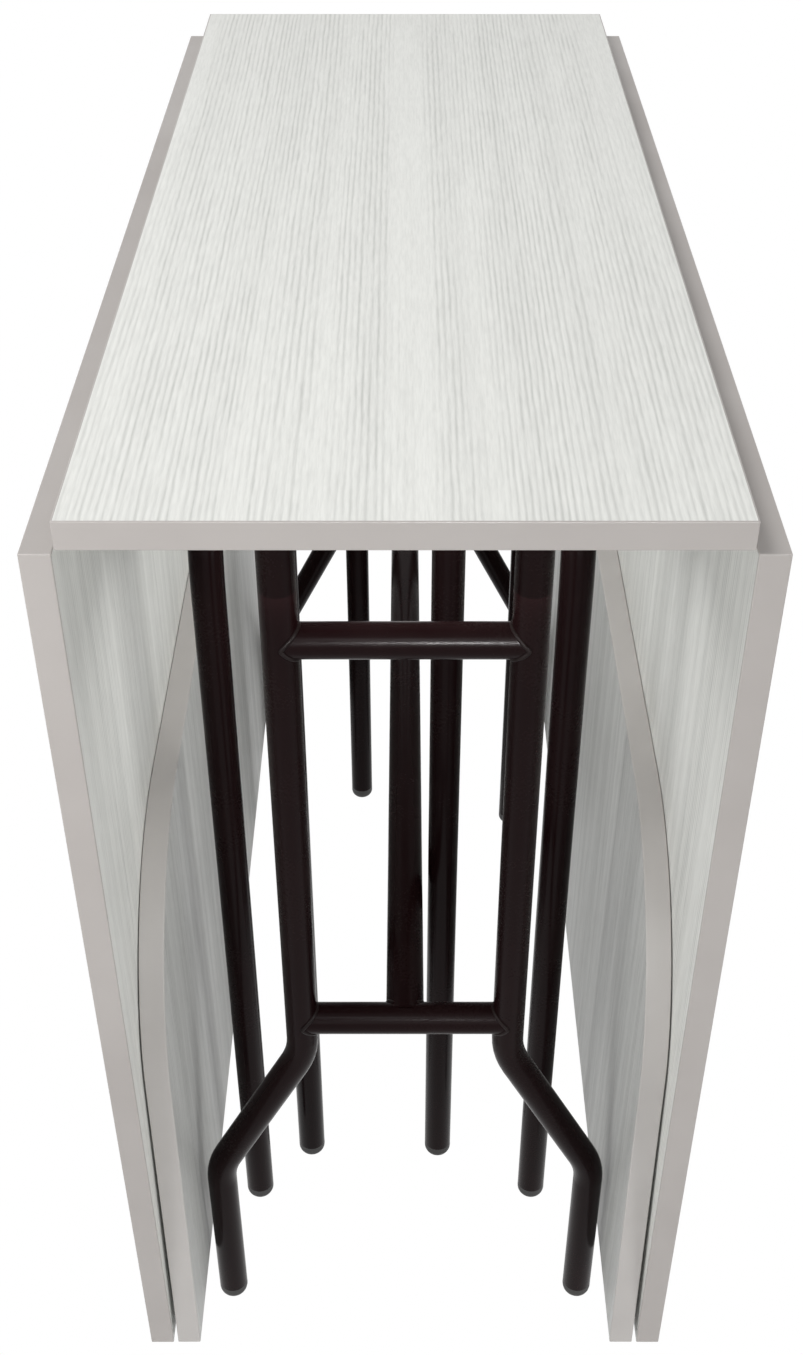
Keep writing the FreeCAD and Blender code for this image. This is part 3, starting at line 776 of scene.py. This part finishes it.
# Floor: white where the camera sees it, and a pale matte for the light that it throws back
floorSet = {"size": 60, "drop": 0.0005, "shade": (0.66, 0.66, 0.66)}
deselectAll()
bpy.ops.mesh.primitive_plane_add(size=floorSet["size"], location=(0, 0, -floorSet["drop"]))
floor = bpy.context.active_object
floor.name = "studioFloor"
settle(floor)
floorPaper = bpy.data.materials.new("floorPaper")
floorPaper.use_nodes = True
floorTree = floorPaper.node_tree
floorTree.nodes.remove(floorTree.nodes["Principled BSDF"])
matte = addNode(floorTree, "ShaderNodeBsdfDiffuse", -200, 100)
matte.inputs["Color"].default_value = (*floorSet["shade"], 1)
glow = addNode(floorTree, "ShaderNodeEmission", -200, -100)
floorMix = addNode(floorTree, "ShaderNodeMixShader", 0, 100)
floorTree.links.new(seenRays(floorTree, 300), floorMix.inputs[0])
floorTree.links.new(matte.outputs[0], floorMix.inputs[1])
floorTree.links.new(glow.outputs[0], floorMix.inputs[2])
floorTree.links.new(floorMix.outputs[0], floorTree.nodes["Material Output"].inputs["Surface"])
floor.data.materials.append(floorPaper)

# Light: a pale room, a lamp high on the left, a window behind the camera, lamps near the camera and round the
# table, and a weak one under the top for the insides of the leaves
roomLight = {"strength": 0.43, "seen": 1.0}
lampSet = {
    "skyLamp": {"place": (-0.9, -0.4, 2.5), "aim": (0, 0, 0.7), "wide": 0.8, "tall": 0.8, "power": 22},
    "windowLamp": {"place": (0.2, -3.0, 1.0), "aim": (0, -0.3, 0.3), "wide": 1.2, "tall": 1.0, "power": 6},
    "cameraLamp": {"place": (0, -1.12, 1.25), "aim": (0, -0.3, 0.4), "wide": 0.2, "tall": 0.2, "power": 1.0},
    "streakLamp": {"place": (0.09, -1.25, 0.92), "aim": (0, -0.323, 0.625), "wide": 0.08, "tall": 0.06,
                   "power": 0.45, "spread": 36, "hiddenFrom": ("visible_diffuse",)},
    "nearLamp": {"place": (-0.45, -0.75, 0.70), "aim": (0.1, -0.35, 0.6), "wide": 0.25, "tall": 0.25,
                 "power": 0.85},
    "leftLamp": {"place": (-2.4, -2.25, 0.6), "aim": (0.1, -0.3, 0.4), "wide": 1.2, "tall": 1.0,
                 "power": 16},
    "rightLamp": {"place": (2.4, -2.25, 0.6), "aim": (-0.1, -0.3, 0.4), "wide": 1.2, "tall": 1.0,
                  "power": 26},
    "backLeftLamp": {"place": (-0.9, 2.3, 0.45), "aim": (0.1, -0.2, 0.5), "wide": 0.9, "tall": 0.7,
                     "power": 17, "hiddenFrom": ("visible_glossy",)},
    "backRightLamp": {"place": (0.9, 2.3, 0.45), "aim": (-0.1, -0.2, 0.5), "wide": 0.9, "tall": 0.7,
                      "power": 20, "hiddenFrom": ("visible_glossy",)},
    "underLamp": {"place": (0, -0.02, 0.66), "aim": (0, -0.02, 0), "wide": 0.18, "tall": 0.66,
                  "power": 0.85, "hiddenFrom": ("visible_glossy", "visible_camera")},
}
world = bpy.data.worlds.new("paleRoom")
bpy.context.scene.world = world
world.use_nodes = True
background = world.node_tree.nodes["Background"]
background.inputs["Color"].default_value = (1, 1, 1, 1)
worldLevel = rangeNode(world.node_tree, -250, 0, seenRays(world.node_tree, 0), 0, 1, roomLight["strength"],
                       roomLight["seen"])
world.node_tree.links.new(worldLevel, background.inputs["Strength"])
for lampName, lamp in lampSet.items():
    bpy.ops.object.light_add(type="AREA", location=lamp["place"])
    light = bpy.context.active_object
    light.name = lampName
    light.data.shape = "RECTANGLE"
    light.data.size = lamp["wide"]
    light.data.size_y = lamp["tall"]
    light.data.energy = lamp["power"]
    light.data.spread = math.radians(lamp.get("spread", 180))
    for rayKind in lamp.get("hiddenFrom", ()):
        setattr(light, rayKind, False)
    light.rotation_euler = (Vector(lamp["aim"]) - Vector(lamp["place"])).to_track_quat("-Z", "Y").to_euler()
bpy.context.scene.view_settings.view_transform = "Standard"
print("camera, floor and light set")
